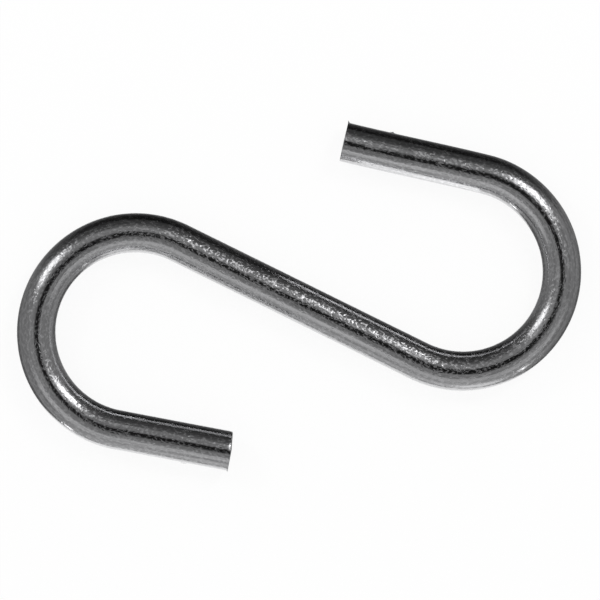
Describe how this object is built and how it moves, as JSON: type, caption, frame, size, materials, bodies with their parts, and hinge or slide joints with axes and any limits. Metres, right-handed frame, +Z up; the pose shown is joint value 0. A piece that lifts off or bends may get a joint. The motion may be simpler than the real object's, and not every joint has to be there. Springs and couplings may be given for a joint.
{
  "type": "s hook",
  "caption": "Open S hook bent from round plated steel wire: a straight shank between opposed round bends, each ending in a short straight leg with a sheared tip.",
  "frame": {"origin": "on the surface that the hook lies on, under the middle of its outer box", "axes": "+X along the line of pull, through the centres of the bends and towards the right bend; +Y towards the right bend's tip; +Z up, across the flat of the hook"},
  "size_m": [0.0716, 0.0408, 0.005],
  "materials": {
    "plated_wire": "bright zinc plating over drawn steel wire, finely pitted and lightly scratched"
  },
  "bodies": {
    "root": {"s_hook": "plated_wire"}
  },
  "joints": []
}
